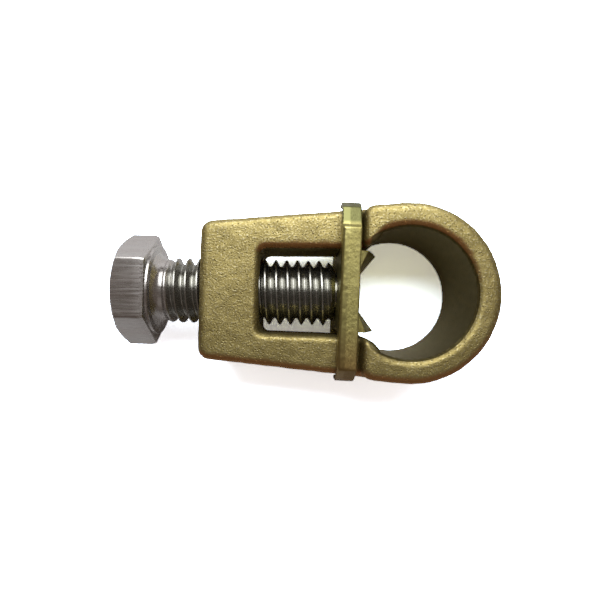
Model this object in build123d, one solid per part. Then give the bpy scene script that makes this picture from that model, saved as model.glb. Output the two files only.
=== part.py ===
from build123d import *
import math
import os

# Earth rod clamp, millimetres.  X runs along the screw towards the rod eye, Y across the clamp,
# Z along the rod.  The origin is the centre of the rod eye, halfway through its thickness.

# Clamp body: one brass casting.
BORE_R = 8.8                # rod eye
EYE_WALL = 3.35             # wall of the eye
EYE_R = BORE_R + EYE_WALL
EYE_HALF = 8.4              # half the eye's thickness
ARM_HALF = 6.0              # half the thickness of the arms and the screw boss
SIDE_TAPER = 5.4            # degrees that each side leans in towards the boss
BODY_END = 28.6             # eye centre to the boss's outer face
MOUTH = 2.4                 # shoulder inside the bore's circle, where the eye opens into the window
SHOULDER = BORE_R - MOUTH   # eye centre to the step between the eye and the arms
WINDOW_END = 20.3           # eye centre to the boss's inner face
WINDOW_HALF = 5.83          # half the window's height at the boss
WINDOW_TAPER = 0.8          # degrees that the window opens towards the eye
LIP_R = 3.0                 # rounding where the window opens into the eye
LIP_SETBACK = 0.2           # shoulder back to the centre of the lip's rounding
THROAT_BLEND = 2.0          # hollow between a lip and the bore
CAST_CORNER = 1.6           # rounded corners of the outline
CAST_EDGE = 1.1             # rounded outer edges of the casting
CORE_EDGE = 0.6             # broken edges of the window and the bore
WINDOW_CORNER = 0.8

# Screw: hexagon head, 3/8 inch coarse thread, its cylinder at the crests.
THREAD_R = 9.525 / 2
SCREW_PLAY = 0.05           # screw in its hole, on the radius
HEAD_FLATS = 14.1           # across flats
HEAD_HEIGHT = 4.65
HEAD_CHAMFER = 30           # degrees
HEAD_CROWN = 0.95           # flat top's diameter over the width across flats
HEAD_GAP = 7.1              # boss to the underside of the head
WASHER_FACE_R = 6.5
WASHER_FACE = 0.35
NECK_R = 4.5                # plain shank between the head and the thread
NECK_CONE = 1.0             # length of the cone from the washer face to the shank
NECK = 0.7                  # length of the plain shank
RUN_OUT = 0.3               # length over which the thread rises from the shank
TIP_CHAMFER = 0.8
NOSE_R = 2.9                # dog point that turns in the plate's pocket
NOSE = 1.25
NOSE_PLAY = 0.05            # between the nose and its pocket, all round
TIP_GAP = 0.05              # thread's end to the back of the leaning plate

# Pressure plate: stamped brass, hammered closed over the arms.
PLATE = 2.6                 # sheet thickness
PLATE_GAP = 0.3             # plate to the shoulder with the screw run in
PLATE_LEAN = 1.2            # degrees that the loose plate leans
PLATE_RIDE = 0.15           # how high the loose plate sits
ROLLOVER = 0.5              # edge that the die rounded
WINDOW_PLAY = 0.4           # web to each side of the window
STRAP_GAP = 0.15            # straps to the arms' faces
STRAP = 2.8                 # how far the straps stand out from the arms
TAB_GAP = 0.2               # tabs to the arms' sides
TAB = 0.6                   # thickness of a tab, where the strap is hammered round an arm
TAB_REACH = 3.4             # how far down an arm's side a tab goes
UPPER_CRIMP = 3.6           # inside of the tab back to the upper bend
LOWER_CRIMP = 1.4           # inside of the tab back to the lower bend
TOOTH = 3.3                 # how far a tooth stands out, halfway through
TOOTH_ROOT = 4.2            # height of its root there
TOOTH_END = 1.4             # how far it stands out at the web's faces
TOOTH_END_ROOT = 3.2        # height of its root there


def side_y(x):
    """Outer side of the clamp at x."""
    lean = math.radians(SIDE_TAPER)
    return EYE_R / math.cos(lean) + x * math.tan(lean)


def window_y(x):
    """Upper side of the window at x."""
    return WINDOW_HALF + (x + WINDOW_END) * math.tan(math.radians(WINDOW_TAPER))


def outline():
    """The clamp's outline: a round eye and two straight sides that run in to the boss."""
    lean = math.radians(SIDE_TAPER)
    tangent = (-EYE_R * math.sin(lean), EYE_R * math.cos(lean))
    end = (-BODY_END, side_y(-BODY_END))
    upper = Line(end, tangent)
    eye = ThreePointArc(tangent, (EYE_R, 0), (tangent[0], -tangent[1]))
    lower = Line((tangent[0], -tangent[1]), (end[0], -end[1]))
    back = Line((end[0], -end[1]), end)
    face = make_face([upper, eye, lower, back])
    return fillet(face.vertices().group_by(Axis.X)[0], CAST_CORNER)


def crossing(centre_a, radius_a, centre_b, radius_b):
    """The two points where two circles cross."""
    run = Vector(*centre_b) - Vector(*centre_a)
    along = (radius_a**2 - radius_b**2 + run.length**2) / (2 * run.length)
    across = math.sqrt(radius_a**2 - along**2)
    unit = run.normalized()
    middle = Vector(*centre_a) + unit * along
    normal = Vector(-unit.Y, unit.X)
    return [middle + normal * across, middle - normal * across]


def opening():
    """The window and the eye in one cut, with a rounded lip on each side where they meet."""
    lean = math.radians(WINDOW_TAPER)
    lip_x = -SHOULDER - LIP_SETBACK
    lip = Vector(lip_x, window_y(lip_x) + LIP_R / math.cos(lean))
    lip_start = lip + Vector(math.sin(lean), -math.cos(lean)) * LIP_R
    throat = max(crossing((0, 0), BORE_R - THROAT_BLEND, tuple(lip)[:2], LIP_R + THROAT_BLEND), key=lambda p: p.X)
    lip_end = lip + (throat - lip).normalized() * LIP_R
    throat_end = throat.normalized() * BORE_R
    throat_middle = throat + ((lip_end + throat_end) * 0.5 - throat).normalized() * THROAT_BLEND
    lip_middle = lip + ((lip_start + lip_end) * 0.5 - lip).normalized() * LIP_R
    corner = Vector(-WINDOW_END, window_y(-WINDOW_END))

    def lower(p):
        return Vector(p.X, -p.Y)

    face = make_face(
        [
            Line(lower(corner), corner),
            Line(corner, lip_start),
            ThreePointArc(lip_start, lip_middle, lip_end),
            ThreePointArc(lip_end, throat_middle, throat_end),
            ThreePointArc(throat_end, (BORE_R, 0), lower(throat_end)),
            ThreePointArc(lower(throat_end), lower(throat_middle), lower(lip_end)),
            ThreePointArc(lower(lip_end), lower(lip_middle), lower(lip_start)),
            Line(lower(lip_start), lower(corner)),
        ]
    )
    return fillet(face.vertices().group_by(Axis.X)[0], WINDOW_CORNER)


def flat(point):
    """The point brought down to the middle plane."""
    return Vector(point.X, point.Y)


def cast(profile, half, end):
    """A flat casting of this profile, its edges eased on both faces as far as end in x."""
    block = extrude(profile, amount=half, both=True)
    core = opening().wire()
    for ease, size, cored in ((fillet, CAST_EDGE, False), (chamfer, CORE_EDGE, True)):
        rims = [e for e in block.faces().filter_by(Axis.Z).edges() if (e @ 0.5).X < end]
        block = ease([e for e in rims if (core.distance_to(flat(e @ 0.5)) < CORE_EDGE / 10) == cored], size)
    return block


def along_x(start, profile):
    """A turned form on the screw's axis, from (distance from start, radius) pairs."""
    points = [(start, 0)] + [(start + x, r) for x, r in profile] + [(start + profile[-1][0], 0)]
    return revolve(make_face(Polyline(*points, close=True)), Axis.X)


def screw_hole(depth):
    """The screw's hole, of this depth from the boss's outer face."""
    return along_x(-BODY_END - CAST_EDGE, [(0, THREAD_R + SCREW_PLAY), (depth + CAST_EDGE, THREAD_R + SCREW_PLAY)])


def clamp_body():
    """Boss, arms and the thicker rod eye, bored for the screw."""
    whole = outline() - opening()
    reach = 2 * EYE_R
    eye = whole & (Pos(-SHOULDER + reach, 0) * Rectangle(2 * reach, 2 * reach))
    step = eye.vertices().group_by(Axis.X)[0]
    eye = cast(fillet([v for v in step if abs(v.Y) > BORE_R], CAST_CORNER), EYE_HALF, EYE_R)
    joint_x = -SHOULDER + CAST_CORNER
    arms = whole & (Pos(joint_x - 2 * reach, 0) * Rectangle(4 * reach, 2 * reach))
    arms = cast(arms, ARM_HALF, joint_x - CAST_EDGE / 10)
    return eye + arms - screw_hole(BODY_END - WINDOW_END + CAST_EDGE)


def plate_back():
    """Where the screw's thread ends, just behind the leaning plate."""
    drop = math.tan(math.radians(PLATE_LEAN)) * 2 * BORE_R
    return -SHOULDER - PLATE_GAP - PLATE - drop - TIP_GAP


def hex_screw():
    """Hexagon-head screw with a washer face, a coned neck and a dog point."""
    under = -BODY_END - HEAD_GAP
    top = under - HEAD_HEIGHT
    hexagon = RegularPolygon(HEAD_FLATS / 2, 6, major_radius=False)
    head = extrude(Plane.YZ.offset(top) * hexagon, amount=HEAD_HEIGHT)
    crown = HEAD_FLATS / 2 * HEAD_CROWN
    rise = math.tan(math.radians(HEAD_CHAMFER))
    head = head & along_x(top, [(0, crown), (HEAD_HEIGHT, crown + HEAD_HEIGHT / rise)])
    neck_end = WASHER_FACE + NECK_CONE + NECK
    length = plate_back() - under
    shank = along_x(
        under,
        [
            (0, WASHER_FACE_R),
            (WASHER_FACE, WASHER_FACE_R),
            (WASHER_FACE + NECK_CONE, NECK_R),
            (neck_end, NECK_R),
            (neck_end + RUN_OUT, THREAD_R),
            (length - TIP_CHAMFER, THREAD_R),
            (length, THREAD_R - TIP_CHAMFER),
            (length, NOSE_R),
            (length + NOSE, NOSE_R),
        ],
    )
    return head + shank


def strap_outline():
    """The front strap in the plane across the screw, as (Y, Z) points round its outline."""
    near = ARM_HALF + STRAP_GAP
    far = near + STRAP
    inside = side_y(-SHOULDER) + TAB_GAP
    outside = inside + TAB
    end = ARM_HALF - TAB_REACH
    knee = (2 - math.sqrt(2)) * CAST_EDGE + STRAP_GAP
    slope = STRAP / 2
    points = []
    for side, crimp in ((1, UPPER_CRIMP), (-1, LOWER_CRIMP)):
        dent = crimp / 8
        half = [
            (side * (inside - crimp), far),
            (side * (inside - crimp + dent), far - dent),
            (side * (inside - slope / 2), far - slope * 3 / 4),
            (side * (inside + TAB / 4), near + slope / 6),
            (side * outside, near - slope),
            (side * outside, end),
            (side * inside, end),
            (side * inside, near - knee),
            (side * (inside - knee), near),
        ]
        points += half if side > 0 else half[::-1]
    return points


def tooth(side):
    """One tooth of the web, highest halfway through and lower at the web's two faces."""
    outer = window_y(-SHOULDER) - WINDOW_PLAY
    face = -SHOULDER - PLATE_GAP

    def section(z, height, root):
        corners = [(face - PLATE / 4, outer), (face + height, outer), (face, outer - root), (face - PLATE / 4, outer - root)]
        return Plane.XY.offset(z) * make_face(Polyline(*[(x, side * y) for x, y in corners], close=True))

    sections = [
        section(-ARM_HALF, TOOTH_END, TOOTH_END_ROOT),
        section(0, TOOTH, TOOTH_ROOT),
        section(ARM_HALF, TOOTH_END, TOOTH_END_ROOT),
    ]
    return loft(sections[:2], ruled=True) + loft(sections[1:], ruled=True)


def pressure_plate():
    """H-shaped stamping: a web in the window, a strap over each face of the arms, two teeth."""
    face = -SHOULDER - PLATE_GAP
    web = 2 * (window_y(-SHOULDER) - WINDOW_PLAY)
    across = 2 * (ARM_HALF + STRAP_GAP) + STRAP
    profile = Rectangle(web, across)
    strap = strap_outline()
    for flip in (1, -1):
        profile += make_face(Polyline(*[(y, flip * z) for y, z in strap], close=True))
    sheet = extrude(Plane.YZ.offset(face - PLATE) * profile, amount=PLATE)
    rim = [e for e in sheet.faces().sort_by(Axis.X)[0].edges() if abs(e.center().Z) > ARM_HALF + STRAP]
    sheet = fillet(rim, ROLLOVER)
    plate = sheet + tooth(1) + tooth(-1)
    hinge = (face, side_y(face) - UPPER_CRIMP)
    lean = Pos(*hinge) * Rot(0, 0, -PLATE_LEAN) * Pos(-hinge[0], -hinge[1])
    plate = Pos(0, PLATE_RIDE, 0) * lean * plate
    pocket = along_x(plate_back() - TIP_GAP, [(0, NOSE_R + NOSE_PLAY), (TIP_GAP + NOSE + NOSE_PLAY, NOSE_R + NOSE_PLAY)])
    return plate - pocket


os.makedirs("parts", exist_ok=True)
for name, solid in (
    ("clamp_body", clamp_body()),
    ("pressure_plate", pressure_plate()),
    ("hex_screw", hex_screw()),
):
    export_step(solid, f"parts/{name}.step")
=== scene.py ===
import math

import bmesh
import bpy
from mathutils import Matrix, Vector, noise


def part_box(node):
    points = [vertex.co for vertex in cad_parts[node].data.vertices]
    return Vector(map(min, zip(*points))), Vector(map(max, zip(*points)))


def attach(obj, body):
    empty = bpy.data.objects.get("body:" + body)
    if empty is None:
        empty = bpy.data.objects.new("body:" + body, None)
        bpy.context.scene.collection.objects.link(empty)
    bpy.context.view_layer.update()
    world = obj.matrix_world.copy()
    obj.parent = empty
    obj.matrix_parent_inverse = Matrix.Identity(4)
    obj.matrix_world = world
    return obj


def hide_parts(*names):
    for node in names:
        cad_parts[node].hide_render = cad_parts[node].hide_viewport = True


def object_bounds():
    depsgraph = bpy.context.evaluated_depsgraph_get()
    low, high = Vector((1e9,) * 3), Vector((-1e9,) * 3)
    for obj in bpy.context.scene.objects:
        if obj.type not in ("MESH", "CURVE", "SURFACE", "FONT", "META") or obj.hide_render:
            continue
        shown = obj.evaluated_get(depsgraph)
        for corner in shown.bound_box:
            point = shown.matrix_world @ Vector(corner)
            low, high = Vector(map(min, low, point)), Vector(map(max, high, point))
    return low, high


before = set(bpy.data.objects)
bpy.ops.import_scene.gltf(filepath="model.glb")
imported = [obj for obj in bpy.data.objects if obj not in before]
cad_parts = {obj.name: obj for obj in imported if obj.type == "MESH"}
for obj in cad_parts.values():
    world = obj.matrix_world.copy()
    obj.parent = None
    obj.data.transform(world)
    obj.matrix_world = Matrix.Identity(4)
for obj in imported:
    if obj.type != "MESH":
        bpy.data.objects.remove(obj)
cad_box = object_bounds()

MM = 0.001

# Sizes that repeat the CAD's, millimetres.
BORE_R = 8.8
EYE_HALF = 8.4             # half the eye's thickness
SHOULDER = 6.4             # eye centre to the step between the eye and the arms
THREAD_R = 9.525 / 2
HEAD_FLATS = 14.1          # across flats
HEAD_HEIGHT = 4.65
HEAD_CHAMFER = math.radians(30)
HEAD_CROWN = 0.95          # flat top's diameter over the width across flats
WASHER_FACE_R = 6.5
WASHER_FACE = 0.35
NECK_R = 4.5
NECK_CONE = 1.0            # length of the cone from the washer face to the neck
NOSE_R = 2.9
NOSE = 1.25
PLATE_LEAN = math.radians(1.2)

# Head detail that the CAD leaves out, millimetres.
HEAD_INSET = 0.001         # head's top inside the CAD box
CORNER_R = 0.35            # worn corners of the hexagon
CROWN_PROFILE = ((0.03, 0.3, 0), (0.02, 1, 0.25), (0, 1, 0.05))  # hollow, share of the crown's radius, less this
CHAMFER_EASE = 0.06        # eased edge on the chamfer's side of a corner
SIDE_EASE = 0.04           # eased edge on the flat's side of a corner
UNDER_BEVEL = 0.62         # height of the bevel round the underside of the head
FLAT_LEAST = 1.0           # part of the flats that stays clear of the chamfer's curve
UNDER_PROFILE = ((SIDE_EASE - UNDER_BEVEL, 0.02), (-CHAMFER_EASE, 0.22), (0, 0.32))  # past the underside, depth
WASHER_PROFILE = ((0, 0.02), (0.03, 0), (WASHER_FACE - 0.05, 0), (WASHER_FACE, -0.06))  # past it, over the radius
CONE_PROFILE = ((0, 0.95), (0.3, 0.55), (0.65, 0.2), (1, 0))  # share of the cone, height over the neck
NECK = 0.35                # length of the plain neck

# Thread and nose, millimetres and shares of the pitch.
PITCH = 9.525 / 6
FLANK_ANGLE = math.pi / 6
CREST_FLAT = 0.12          # of the pitch
ROOT_START = 0.33          # of the pitch, from the crest
PROFILE = (-0.06, 0.06, 0.115, 0.17, 0.25, 0.33, 0.38, 0.44, 0.5, 0.56, 0.62, 0.67, 0.75, 0.83, 0.885)
THREAD_PHASE = -15.16      # a crest on the +Y side
RUN_OUT = 1.3              # length over which the thread rises from the neck
CREST_RUN_OUT = 0.6        # share of it over which the crests reach full height
POINT = 1.0                # length of the chamfer at the thread's end
ROOT_SPARE = 0.02          # thread's end under its root
WELD = 0.002               # points this close become one
LAP = 0.3                  # how far the head's shell reaches into the thread's
LAP_DEPTH = 0.15           # and how far it stays under the neck there
NOSE_LAP = 1.5             # how far the nose's shell reaches into the thread's
NOSE_CHAMFER = 0.25

HEAD_SIDES = 360
THREAD_SIDES = 120
NOSE_SIDES = 64
CRISP = 35                 # degrees from which an edge stays crisp

# Unevenness of the brass, millimetres.
CAST_VOXEL = 0.28
CAST_LUMP = 0.09           # depth
PLATE_VOXEL = 0.13
PLATE_LUMP = 0.03          # depth
BORE_SKIN = 0.2            # points this close to the bore's wall are on it
BORE_RIM = 0.45            # rounded rim at each end of the bore
ROLL_WIDTH = 0.95          # smooth rolled edge of the sheet, along X

# Sizes of the surface textures and depth of their bump, millimetres.
CAST_GRAIN, CAST_PITS, CAST_PATCH, CAST_BUMP = 0.27, 0.36, 5, 0.06
SHEET_GRAIN, SHEET_PATCH, SHEET_BUMP = 0.2, 2.5, 0.045
STEEL_STREAK, STEEL_REFLECTION_PATCH, STEEL_BUMP = 0.3, 2.2, 0.004

# Colours.
CAST_DULL, CAST_CLEAN = (0.36, 0.295, 0.11), (0.46, 0.385, 0.155)
# Painted glints: bright specks of colour that stand in for highlights on the grain.
# Painted shade in the pits.
CAST_PAINTED_GLINT, CAST_PIT_PAINTED_SHADE = (0.72, 0.66, 0.40), (0.17, 0.125, 0.04)
# Painted shade towards -Y, and a painted warm reflection on the low rim.
CAST_SHADE, CAST_PAINTED_WARM_REFLECTION = (0.17, 0.135, 0.05), (0.48, 0.23, 0.085)
# Painted shade on the bore's wall.
BORE_BRASS_PAINTED_SHADE = (0.29, 0.25, 0.11)
SHEET_DULL, SHEET_CLEAN = (0.36, 0.32, 0.115), (0.46, 0.425, 0.17)
# Painted shade on the bent cap.
# Painted warm reflection on the sheet's lower side.
SHEET_TORN, SHEET_PAINTED_WARM_REFLECTION, SHEET_CAP_PAINTED_SHADE = (0.27, 0.24, 0.08), (0.27, 0.15, 0.055), (0.15, 0.15, 0.06)
STEEL_DARK, STEEL_LIGHT = (0.50, 0.49, 0.475), (0.58, 0.575, 0.565)
# Painted warm reflection on the steel.
STEEL_PAINTED_WARM_REFLECTION, STEEL_THREAD = (0.46, 0.41, 0.39), (0.36, 0.36, 0.33)
PAPER, PAPER_SEEN = (0.8, 0.8, 0.82), (6.6, 7.7, 9.0)
# Painted dark reflection: the paper as the metal mirrors it, darker towards the front.
PAPER_BACK, PAPER_FRONT_PAINTED_DARK_REFLECTION = (0.96, 0.96, 0.98), (0.46, 0.45, 0.45)
STUDIO = (0.142, 0.114, 0.098, 1)
WARM_WHITE = (1, 0.97, 0.93)

# Stage, metres and watts.
FLOOR_SIZE = 1.2
FLOOR_GAP = 0.00002        # floor under the part
FLOOR_GLOW = 0.12
AIM = (-0.01, 0, 0)        # where the lamps point
KEY = {"location": (-0.01, 0.20, 0.24), "size": 0.26, "watts": 1.05}
FILL = {"location": (0.1, -0.26, 0.22), "size": 0.20, "watts": 0.02, "colour": WARM_WHITE}

# Camera, fitted to the photo's perspective.
SENSOR, LENS = 36, 28.54
CAMERA_TILT, CAMERA_ROLL = math.radians(-1.29), math.radians(-1.25)
CAMERA_PLACE = (-0.014668, -0.000756, 0.070606)  # from the eye's centre, in the camera's own axes


# ---------------------------------------------------------------- screw
def make_object(name, bm, material, body):
    """A finished piece from a bmesh in millimetres."""
    bmesh.ops.scale(bm, vec=(MM, MM, MM), verts=bm.verts)
    bmesh.ops.recalc_face_normals(bm, faces=bm.faces)
    mesh = bpy.data.meshes.new(name)
    bm.to_mesh(mesh)
    bm.free()
    mesh.materials.append(material)
    piece = bpy.data.objects.new(name, mesh)
    bpy.context.scene.collection.objects.link(piece)
    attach(piece, body)
    return piece


def add_tube(bm, rings):
    """Skins a list of rings, each a list of points, into one closed tube."""
    loops = [[bm.verts.new(p) for p in ring] for ring in rings]
    count = len(loops[0])
    for low, high in zip(loops, loops[1:]):
        for j in range(count):
            k = (j + 1) % count
            bm.faces.new((low[j], low[k], high[k], high[j]))
    bm.faces.new(loops[0])
    bm.faces.new(loops[-1])


def polar(x, radius, angle):
    """A point on the screw's axis system: angle runs from +Y towards +Z."""
    return (x, radius * math.cos(angle), radius * math.sin(angle))


def around(sides):
    """Angles of this many points round the axis."""
    return [2 * math.pi * j / sides for j in range(sides)]


def hexagon_radius(angle):
    """Distance from the axis to the hexagon's side, its corners slightly worn."""
    flat = HEAD_FLATS / 2
    half_side = math.pi / 6
    off = (angle % (math.pi / 3)) - half_side
    if flat * math.tan(abs(off)) <= (flat - CORNER_R) * math.tan(half_side):
        return flat / math.cos(off)
    centre = (flat - CORNER_R) / math.cos(half_side)
    from_corner = half_side - abs(off)
    return centre * math.cos(from_corner) + math.sqrt(CORNER_R**2 - (centre * math.sin(from_corner)) ** 2)


def head_rings(top, under, neck_end):
    """Rings of the head from its chamfered top to the washer face, the cone and into the thread."""
    angles = around(HEAD_SIDES)
    crown = HEAD_FLATS / 2 * HEAD_CROWN
    slope = math.tan(HEAD_CHAMFER)
    sides = [(top + (r - crown) * slope, r, a) for r, a in ((hexagon_radius(a), a) for a in angles)]
    bevel = under - UNDER_BEVEL
    cone = under + WASHER_FACE

    def circle(x, radius):
        return [polar(x, radius, a) for a in angles]

    def side_ring(x):
        return [polar(max(x, edge + CHAMFER_EASE), r, a) for edge, r, a in sides]

    def chamfer_point(edge, radius, angle):
        x = edge - CHAMFER_EASE
        return polar(x, min(radius, crown + (x - top) / slope), angle)

    rings = [circle(top + depth, crown * share - less) for depth, share, less in CROWN_PROFILE]
    rings.append([chamfer_point(*side) for side in sides])
    rings.append([polar(edge + SIDE_EASE, r, a) for edge, r, a in sides])
    rings += [side_ring(bevel - FLAT_LEAST), side_ring(bevel - SIDE_EASE)]
    rings += [[polar(under + x, r - depth, a) for _, r, a in sides] for x, depth in UNDER_PROFILE]
    rings += [circle(under + x, WASHER_FACE_R + over) for x, over in WASHER_PROFILE]
    rings += [circle(cone + NECK_CONE * share, NECK_R + height) for share, height in CONE_PROFILE]
    rings.append(circle(neck_end + LAP, NECK_R - LAP_DEPTH))
    return rings


def thread_depth(phase):
    """Depth under the crest of a 60 degree thread with a rounded root, phase in pitches from a crest."""
    off = abs((phase + 0.5) % 1 - 0.5)
    slope = PITCH / math.tan(FLANK_ANGLE)
    flank = slope * max(min(off, ROOT_START) - CREST_FLAT / 2, 0)
    run = max(off - ROOT_START, 0)
    return flank + slope * run - slope / (2 * (0.5 - ROOT_START)) * run**2


def thread_point(start, end, x, share, angle):
    """A point of the thread, its share of the pitch past a crest, between the run-out and the chamfer."""
    x = min(max(x, start), end)
    rise = min((x - start) / RUN_OUT, 1)
    rise = rise * rise * (3 - 2 * rise)
    crest = NECK_R + (THREAD_R - NECK_R) * min((x - start) / (RUN_OUT * CREST_RUN_OUT), 1)
    tip = THREAD_R - thread_depth(0.5) - ROOT_SPARE
    point = tip + (end - x) / POINT * (THREAD_R - tip)
    return polar(x, min(crest - thread_depth(share) * rise, point), angle)


def add_thread(bm, start, end):
    """Threaded shank: its rows follow the helix, so that the crests stay crisp."""
    steps = len(PROFILE)
    first = math.floor((start - THREAD_PHASE) / PITCH) - 1
    turns = math.ceil((end - start) / PITCH) + 3
    columns = []
    for j, angle in enumerate(around(THREAD_SIDES)):
        columns.append([
            bm.verts.new(thread_point(start, end, THREAD_PHASE + (k + s + j / THREAD_SIDES) * PITCH, s, angle))
            for k in range(first, first + turns)
            for s in PROFILE
        ])
    rows = len(columns[0])
    for j, column in enumerate(columns):
        # A turn further on, the last column meets the first one pitch along.
        beside, ahead = (columns[j + 1], 0) if j + 1 < THREAD_SIDES else (columns[0], steps)
        for m in range(rows - 1 - ahead):
            bm.faces.new((column[m], beside[m + ahead], beside[m + ahead + 1], column[m + 1]))
    bmesh.ops.remove_doubles(bm, verts=[v for column in columns for v in column], dist=WELD)


def shade(piece):
    """Smooth shading with sharp edges left crisp."""
    for face in piece.data.polygons:
        face.use_smooth = True
    bm = bmesh.new()
    bm.from_mesh(piece.data)
    for edge in bm.edges:
        if len(edge.link_faces) == 2:
            edge.smooth = edge.calc_face_angle(0) < math.radians(CRISP)
    bm.to_mesh(piece.data)
    bm.free()


def screw(material):
    """The hexagon screw in three closed shells: head, threaded shank and nose."""
    low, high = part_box("hex_screw")
    top = low.x / MM + HEAD_INSET
    under = top + HEAD_HEIGHT
    nose_end = high.x / MM
    shank_end = nose_end - NOSE
    neck_end = under + WASHER_FACE + NECK_CONE + NECK
    bm = bmesh.new()
    add_tube(bm, head_rings(top, under, neck_end))
    add_thread(bm, neck_end, shank_end)
    nose = (
        (shank_end - NOSE_LAP, NOSE_R),
        (nose_end - NOSE_CHAMFER, NOSE_R),
        (nose_end, NOSE_R - NOSE_CHAMFER),
    )
    add_tube(bm, [[polar(x, r, a) for a in around(NOSE_SIDES)] for x, r in nose])
    bmesh.ops.holes_fill(bm, edges=[e for e in bm.edges if e.is_boundary], sides=0)
    piece = make_object("screw", bm, material, "screw")
    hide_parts("hex_screw")
    shade(piece)


# ---------------------------------------------------------------- brass pieces
def remeshed(node, name, voxel, material, body):
    """An even copy of a CAD node's mesh, made in millimetres, that can be worked point by point."""
    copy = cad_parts[node].data.copy()
    copy.transform(Matrix.Scale(1 / MM, 4))
    piece = bpy.data.objects.new(name, copy)
    bpy.context.scene.collection.objects.link(piece)
    remesh = piece.modifiers.new("remesh", "REMESH")
    remesh.mode = "VOXEL"
    remesh.voxel_size = voxel
    relax = piece.modifiers.new("relax", "SMOOTH")
    relax.factor = 0.5
    relax.iterations = 2
    bpy.context.view_layer.update()
    shaped = bpy.data.meshes.new_from_object(piece.evaluated_get(bpy.context.evaluated_depsgraph_get()))
    piece.modifiers.clear()
    shaped.transform(Matrix.Scale(MM, 4))
    piece.data = shaped
    shaped.materials.clear()
    shaped.materials.append(material)
    for face in shaped.polygons:
        face.use_smooth = True
    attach(piece, body)
    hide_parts(node)
    return piece


def work(piece, node, shift):
    """Moves each point to where shift(point, normal), in millimetres, puts it, inside the node's box."""
    mesh = piece.data
    low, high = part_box(node)
    points = [(v.co / MM, v.normal.copy()) for v in mesh.vertices]
    moved = [
        min(max(c * MM, a), b)
        for point, normal in points
        for c, a, b in zip(shift(point, normal), low, high)
    ]
    mesh.vertices.foreach_set("co", moved)
    mesh.update()


def lumps(p, coarse, fine, share, offset):
    """Unevenness round 0.5: coarse and fine noise, of so many lumps a millimetre, in the coarse one's share."""
    return 0.5 + noise.noise(p * coarse) * share + noise.noise(p * fine + Vector(offset)) * (1 - share)


def on_bore(p):
    """Whether a point is on the machined wall of the eye."""
    near_wall = abs(math.hypot(p.x, p.y) - BORE_R) < BORE_SKIN
    return p.x > -SHOULDER and near_wall and abs(p.z) < EYE_HALF - BORE_RIM


def clamp(material):
    """The casting, slightly uneven outside and true in the bore."""
    piece = remeshed("clamp_body", "clamp", CAST_VOXEL, material, "clamp")

    def shift(p, normal):
        if on_bore(p):
            true = BORE_R / math.hypot(p.x, p.y)
            return Vector((p.x * true, p.y * true, p.z))
        return p - normal * CAST_LUMP * lumps(p, 0.45, 1.3, 0.6, (7, 3, 1))

    work(piece, "clamp_body", shift)


def plate(material):
    """The stamping, a little uneven where it was sheared and hammered."""
    piece = remeshed("pressure_plate", "plate", PLATE_VOXEL, material, "plate")

    def shift(p, normal):
        return p - normal * PLATE_LUMP * lumps(p, 0.8, 2.2, 0.5, (2, 5, 9))

    work(piece, "pressure_plate", shift)


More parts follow.
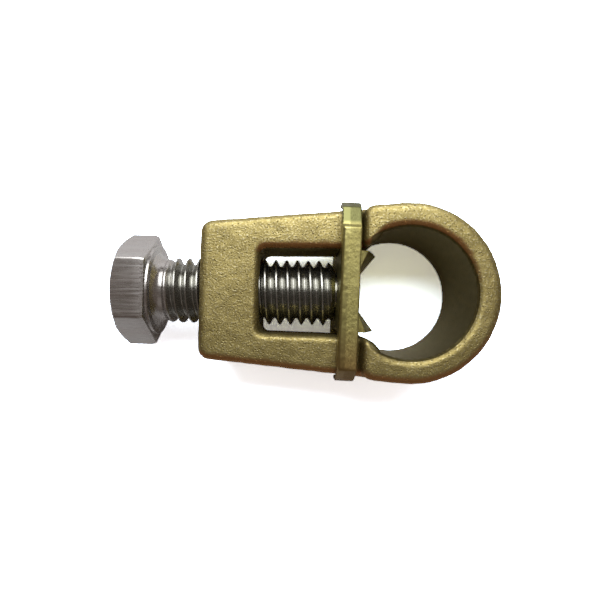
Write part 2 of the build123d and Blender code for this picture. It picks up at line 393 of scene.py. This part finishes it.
# ---------------------------------------------------------------- node helpers
class Nodes:
    """A material's node tree, with short calls for making and linking nodes."""

    def __init__(self, name):
        self.material = bpy.data.materials.new(name)
        self.material.use_nodes = True
        self.tree = self.material.node_tree
        self.tree.nodes.clear()
        self.output = self.tree.nodes.new("ShaderNodeOutputMaterial")
        self.place = self.tree.nodes.new("ShaderNodeTexCoord").outputs["Object"]
        self.x, self.y = self.split(self.place)[:2]
        self.normal = self.split(self.tree.nodes.new("ShaderNodeNewGeometry").outputs["Normal"])

    def link(self, source, target):
        self.tree.links.new(source, target)

    def split(self, vector):
        node = self.tree.nodes.new("ShaderNodeSeparateXYZ")
        self.link(vector, node.inputs[0])
        return node.outputs

    def put(self, socket, value):
        """Sets a socket to a number or colour, or links it."""
        if isinstance(value, (int, float)):
            socket.default_value = value
        elif isinstance(value, tuple):
            socket.default_value = (*value, 1)
        else:
            self.link(value, socket)

    def scaled(self, scale):
        node = self.tree.nodes.new("ShaderNodeMapping")
        node.inputs["Scale"].default_value = scale
        self.link(self.place, node.inputs["Vector"])
        return node.outputs["Vector"]

    def noise(self, size, detail, roughness, stretch=None):
        """Noise whose features are about size millimetres across."""
        node = self.tree.nodes.new("ShaderNodeTexNoise")
        node.inputs["Scale"].default_value = 1 / (size * MM)
        node.inputs["Detail"].default_value = detail
        node.inputs["Roughness"].default_value = roughness
        self.link(self.scaled(stretch) if stretch else self.place, node.inputs["Vector"])
        return node.outputs["Fac"]

    def cells(self, size):
        """Distance from scattered points, about size millimetres apart."""
        node = self.tree.nodes.new("ShaderNodeTexVoronoi")
        node.inputs["Scale"].default_value = 1 / (size * MM)
        self.link(self.place, node.inputs["Vector"])
        return node.outputs["Distance"]

    def ramp(self, fac, *stops):
        node = self.tree.nodes.new("ShaderNodeValToRGB")
        for element, (place, colour) in zip(node.color_ramp.elements, stops):
            element.position = place
            element.color = (*colour, 1)
        self.link(fac, node.inputs["Fac"])
        return node.outputs["Color"]

    def span(self, value, low, high, out_low=0.0, out_high=1.0):
        """Value's range from low to high, brought to out_low to out_high."""
        node = self.tree.nodes.new("ShaderNodeMapRange")
        for key, number in zip(("From Min", "From Max", "To Min", "To Max"), (low, high, out_low, out_high)):
            node.inputs[key].default_value = number
        self.link(value, node.inputs["Value"])
        return node.outputs["Result"]

    def math(self, operation, a, b=0.0):
        node = self.tree.nodes.new("ShaderNodeMath")
        node.operation = operation
        self.put(node.inputs[0], a)
        self.put(node.inputs[1], b)
        return node.outputs["Value"]

    def times(self, a, b):
        return self.math("MULTIPLY", a, b)

    def inverse(self, mask):
        return self.math("SUBTRACT", 1.0, mask)

    def mix(self, fac, a, b):
        node = self.tree.nodes.new("ShaderNodeMix")
        node.data_type = "RGBA"
        for key, value in ((0, fac), (6, a), (7, b)):
            self.put(node.inputs[key], value)
        return node.outputs[2]

    def mix_numbers(self, fac, a, b):
        node = self.tree.nodes.new("ShaderNodeMix")
        for key, value in ((0, fac), (2, a), (3, b)):
            self.put(node.inputs[key], value)
        return node.outputs[0]

    def bump(self, height, depth):
        """Bump of this depth in millimetres."""
        node = self.tree.nodes.new("ShaderNodeBump")
        node.inputs["Distance"].default_value = depth * MM
        self.link(height, node.inputs["Height"])
        return node.outputs["Normal"]

    def metal(self, colour, roughness, normal):
        node = self.tree.nodes.new("ShaderNodeBsdfPrincipled")
        node.inputs["Metallic"].default_value = 1
        self.link(colour, node.inputs["Base Color"])
        self.link(roughness, node.inputs["Roughness"])
        self.link(normal, node.inputs["Normal"])
        self.link(node.outputs["BSDF"], self.output.inputs["Surface"])
        return self.material


# ---------------------------------------------------------------- materials
def cast_brass():
    """Shot-blasted casting, pitted and dull, with a machined bore painted darker as shade."""
    n = Nodes("cast_brass")
    grain = n.noise(CAST_GRAIN, 3, 0.6)
    pits = n.cells(CAST_PITS)
    patch = n.noise(CAST_PATCH, 3, 0.6)
    radius = n.math("SQRT", n.math("ADD", n.times(n.x, n.x), n.times(n.y, n.y)))
    by_radius = n.span(radius, (BORE_R + 0.28) * MM, (BORE_R + 0.1) * MM)
    in_bore = n.times(by_radius, n.span(n.x, -5.6 * MM, -5.2 * MM))
    outside = n.inverse(in_bore)
    # Rim that leans towards -Y and still faces up, where the warm reflection is painted.
    low_rim_reflection = n.times(n.span(n.normal[1], -0.06, -0.42), n.span(n.normal[2], 0.02, 0.25))

    colour = n.ramp(patch, (0.3, CAST_DULL), (0.7, CAST_CLEAN))
    # Painted glints: the grain's brightest specks take a light colour, as highlights.
    colour = n.mix(n.span(grain, 0.52, 0.68, 0, 0.75), colour, CAST_PAINTED_GLINT)
    # Painted shade: the pits are darkened as though shade falls in them.
    colour = n.mix(n.span(pits, 0.24, 0.06, 0, 0.6), colour, CAST_PIT_PAINTED_SHADE)
    colour = n.mix(n.span(n.y, 9 * MM, -12 * MM, 0, 0.42), colour, CAST_SHADE)
    # Painted reflection: the rim facing -Y takes a warm copper tone, as if lit from below.
    colour = n.mix(n.times(low_rim_reflection, 0.85), colour, CAST_PAINTED_WARM_REFLECTION)
    # Painted shade: the machined bore takes a darker brass, as the shade inside the eye.
    colour = n.mix(in_bore, colour, BORE_BRASS_PAINTED_SHADE)
    rough = n.mix_numbers(in_bore, n.span(grain, 0.3, 0.7, 0.55, 0.42), 0.46)
    height = n.math("ADD", n.times(grain, outside), n.times(n.span(pits, 0, 0.3), outside))
    return n.metal(colour, rough, n.bump(height, CAST_BUMP))


def stamped_brass():
    """Sheet brass: rolled smooth along one edge, torn grain on the rest of the sheared side."""
    n = Nodes("stamped_brass")
    torn = n.noise(SHEET_GRAIN, 3, 0.65, (1, 0.6, 1))
    patch = n.noise(SHEET_PATCH, 3, 0.6)
    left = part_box("pressure_plate")[0].x
    leaning = n.math("ADD", n.x, n.times(n.y, -math.tan(PLATE_LEAN)))
    rolled = n.span(leaning, left + (ROLL_WIDTH + 0.45) * MM, left + (ROLL_WIDTH + 0.2) * MM)
    sheared = n.inverse(rolled)
    low_side_reflection = n.span(n.y, -4 * MM, -12 * MM)
    cap_shade = n.span(n.y, 8.8 * MM, 9.4 * MM)

    colour = n.ramp(patch, (0.3, SHEET_DULL), (0.7, SHEET_CLEAN))
    colour = n.mix(n.times(n.span(torn, 0.6, 0.38, 0, 0.6), sheared), colour, SHEET_TORN)
    # Painted reflection: the lower side of the sheet takes a warm copper tone, as if lit from below.
    colour = n.mix(n.times(low_side_reflection, 0.85), colour, SHEET_PAINTED_WARM_REFLECTION)
    # Painted shade: the bent cap, which faces the key lamp, is darkened.
    colour = n.mix(cap_shade, colour, SHEET_CAP_PAINTED_SHADE)
    rough = n.mix_numbers(sheared, 0.34, n.span(torn, 0.3, 0.7, 0.42, 0.55))
    relief = n.times(torn, n.span(sheared, 0, 1, 0.2, 1))
    return n.metal(colour, rough, n.bump(relief, SHEET_BUMP))


def stainless():
    """Drawn bar with fine lengthwise streaks on the head, and a darker rolled thread."""
    n = Nodes("stainless_steel")
    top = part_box("hex_screw")[0].x
    streak = n.noise(STEEL_STREAK, 3, 0.65, (0.05, 1, 1))
    patch = n.noise(STEEL_REFLECTION_PATCH, 2, 0.5, (0.3, 1, 1))
    thread = n.span(n.x, top + (HEAD_HEIGHT + 2) * MM, top + (HEAD_HEIGHT + 3) * MM)

    colour = n.ramp(streak, (0.3, STEEL_DARK), (0.7, STEEL_LIGHT))
    # Painted reflection: warm patches stand in for brownish reflections on the steel.
    colour = n.mix(n.span(patch, 0.35, 0.65, 0, 0.35), colour, STEEL_PAINTED_WARM_REFLECTION)
    colour = n.mix(thread, colour, STEEL_THREAD)
    return n.metal(colour, n.span(streak, 0.3, 0.7, 0.22, 0.34), n.bump(streak, STEEL_BUMP))


# ---------------------------------------------------------------- floor, light, camera
def floor():
    """White studio paper: it shows white to the eye, keeps the shadow, and lights the part as plain paper does; in
    the metal's reflections it turns darker towards -Y, a painted darker reflection.
    """
    bpy.ops.mesh.primitive_plane_add(size=FLOOR_SIZE, location=(0, 0, cad_box[0].z - FLOOR_GAP))
    plane = bpy.context.object
    plane.name = "floor"
    n = Nodes("white_paper")
    paper = n.tree.nodes.new("ShaderNodeBsdfDiffuse")
    glow = n.tree.nodes.new("ShaderNodeEmission")
    rays = n.tree.nodes.new("ShaderNodeLightPath").outputs
    seen = rays["Is Camera Ray"]
    mirrored = n.math("MAXIMUM", rays["Is Glossy Ray"], rays["Is Transmission Ray"])
    # Painted reflection: glossy rays see the paper darker towards -Y.
    reflection = n.mix(n.span(n.y, 0.04, -0.05), PAPER_BACK, PAPER_FRONT_PAINTED_DARK_REFLECTION)
    n.link(n.mix(seen, n.mix(mirrored, PAPER, reflection), PAPER_SEEN), paper.inputs["Color"])
    n.link(n.times(seen, FLOOR_GLOW), glow.inputs["Strength"])
    both = n.tree.nodes.new("ShaderNodeAddShader")
    n.link(paper.outputs[0], both.inputs[0])
    n.link(glow.outputs[0], both.inputs[1])
    n.link(both.outputs[0], n.output.inputs["Surface"])
    plane.data.materials.append(n.material)


def lamp(name, location, size, watts, colour=(1, 1, 1)):
    """A soft square lamp that points at the middle of the part."""
    data = bpy.data.lights.new(name, "AREA")
    data.size = size
    data.energy = watts
    data.color = colour
    lamp_object = bpy.data.objects.new(name, data)
    bpy.context.scene.collection.objects.link(lamp_object)
    lamp_object.location = location
    towards = Vector(AIM) - Vector(location)
    lamp_object.rotation_euler = towards.to_track_quat("-Z", "Y").to_euler()


def lights():
    """A dim warm room, a large key lamp behind the part and a weak fill in front."""
    world = bpy.data.worlds.new("studio")
    bpy.context.scene.world = world
    world.use_nodes = True
    world.node_tree.nodes["Background"].inputs["Color"].default_value = STUDIO
    lamp("key", **KEY)
    lamp("fill", **FILL)


def camera():
    """Close above the middle of the window, looking almost straight down."""
    data = bpy.data.cameras.new("camera")
    data.sensor_width = SENSOR
    data.lens = LENS
    data.clip_start = 0.005
    eye = bpy.data.objects.new("camera", data)
    bpy.context.scene.collection.objects.link(eye)
    turn = (Matrix.Rotation(CAMERA_ROLL, 3, "Z") @ Matrix.Rotation(CAMERA_TILT, 3, "X")).transposed()
    eye.matrix_world = Matrix.Translation(turn @ Vector(CAMERA_PLACE)) @ turn.to_4x4()
    bpy.context.scene.camera = eye


clamp(cast_brass())
plate(stamped_brass())
screw(stainless())
floor()
lights()
camera()
bpy.context.scene.view_settings.view_transform = "Standard"
